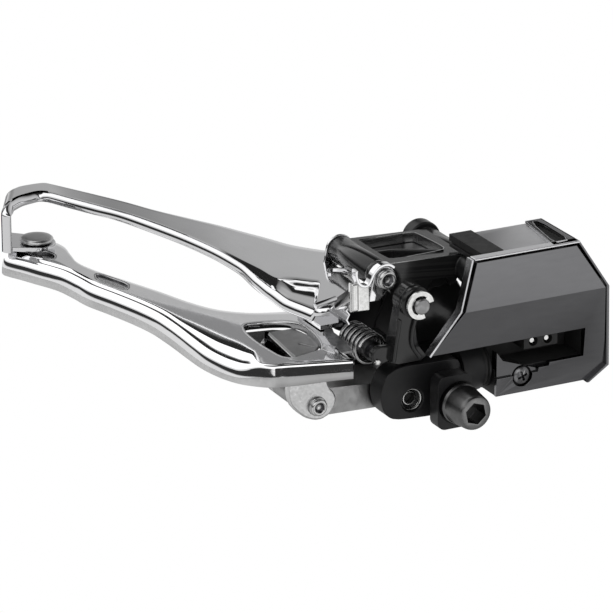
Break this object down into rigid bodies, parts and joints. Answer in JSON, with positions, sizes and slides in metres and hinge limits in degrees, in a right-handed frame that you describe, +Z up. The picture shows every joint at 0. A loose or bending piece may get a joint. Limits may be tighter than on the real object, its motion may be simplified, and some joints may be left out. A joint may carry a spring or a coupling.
{
  "type": "electronic front derailleur",
  "caption": "Electronic front derailleur for a road bicycle: chromed chain cage on two links, black motor housing and a braze-on fixing bolt.",
  "frame": {"origin": "on the fixing bolt axis, in the base's seat face that meets the braze-on tab", "axes": "+X forward along the bolt and the link pins, +Y towards the bicycle (inboard), +Z up the seat tube; the drive side is -Y"},
  "size_m": [0.134, 0.0418, 0.1164],
  "materials": {
    "bracket_base_finish": "satin",
    "pin_arm_finish": "gloss",
    "arm_pin_finish": "burnished dark",
    "e_clip_finish": "satin",
    "spring_post_finish": "burnished dark",
    "saver_spring_finish": "burnished dark",
    "lower_base_pin_finish": "satin",
    "upper_base_pin_finish": "satin",
    "motor_case_finish": "satin",
    "motor_cover_finish": "satin",
    "end_cap_finish": "satin",
    "seal_block_finish": "matte",
    "case_screw_finish": "burnished dark",
    "motor_can_finish": "satin",
    "gearbox_block_finish": "satin",
    "control_board_finish": "matte",
    "wire_port_finish": "matte",
    "port_contact_a_finish": "bright",
    "port_contact_b_finish": "bright",
    "fixing_bolt_finish": "burnished dark",
    "radius_washer_finish": "satin",
    "outer_link_finish": "gloss",
    "inner_link_finish": "satin",
    "outer_plate_finish": "polished",
    "inner_plate_finish": "polished",
    "tail_rivet_finish": "satin",
    "hinge_bracket_finish": "polished",
    "cage_stiffener_finish": "satin",
    "lower_lug_finish": "satin",
    "front_bridge_finish": "polished",
    "upper_cage_pin_finish": "satin",
    "lower_cage_pin_finish": "satin"
  },
  "bodies": {
    "base": {"bracket_base": "bracket_base_finish", "pin_arm": "pin_arm_finish", "arm_pin": "arm_pin_finish", "e_clip": "e_clip_finish", "spring_post": "spring_post_finish", "saver_spring": "saver_spring_finish", "lower_base_pin": "lower_base_pin_finish", "upper_base_pin": "upper_base_pin_finish", "motor_case": "motor_case_finish", "motor_cover": "motor_cover_finish", "end_cap": "end_cap_finish", "seal_block": "seal_block_finish", "case_screw": "case_screw_finish", "motor_can": "motor_can_finish", "gearbox_block": "gearbox_block_finish", "control_board": "control_board_finish", "wire_port": "wire_port_finish", "port_contact_a": "port_contact_a_finish", "port_contact_b": "port_contact_b_finish"},
    "clamp": {"fixing_bolt": "fixing_bolt_finish", "radius_washer": "radius_washer_finish"},
    "outer_link": {"outer_link": "outer_link_finish"},
    "inner_link": {"inner_link": "inner_link_finish"},
    "cage": {"outer_plate": "outer_plate_finish", "inner_plate": "inner_plate_finish", "tail_rivet": "tail_rivet_finish", "hinge_bracket": "hinge_bracket_finish", "cage_stiffener": "cage_stiffener_finish", "lower_lug": "lower_lug_finish", "front_bridge": "front_bridge_finish", "upper_cage_pin": "upper_cage_pin_finish", "lower_cage_pin": "lower_cage_pin_finish"}
  },
  "joints": [
    {"name": "outer_link_pivot", "type": "hinge", "parent": "base", "child": "outer_link", "pos_m": [0, -0.0278, 0.0112], "axis": [1, 0, 0], "range_deg": [-10, 12]},
    {"name": "inner_link_pivot", "type": "hinge", "parent": "base", "child": "inner_link", "pos_m": [0, 0.0004, -0.009], "axis": [1, 0, 0], "range_deg": [-10, 12]},
    {"name": "cage_pivot", "type": "hinge", "parent": "outer_link", "child": "cage", "pos_m": [0, -0.0298, -0.0134], "axis": [1, 0, 0], "range_deg": [-12, 10]},
    {"name": "fixing_bolt_slide", "type": "slide", "parent": "base", "child": "clamp", "axis": [1, 0, 0], "range_m": [0, 0.004]}
  ],
  "couplings": [
    {"joint": "inner_link_pivot", "follows": "outer_link_pivot", "ratio": 1},
    {"joint": "cage_pivot", "follows": "outer_link_pivot", "ratio": -1}
  ]
}
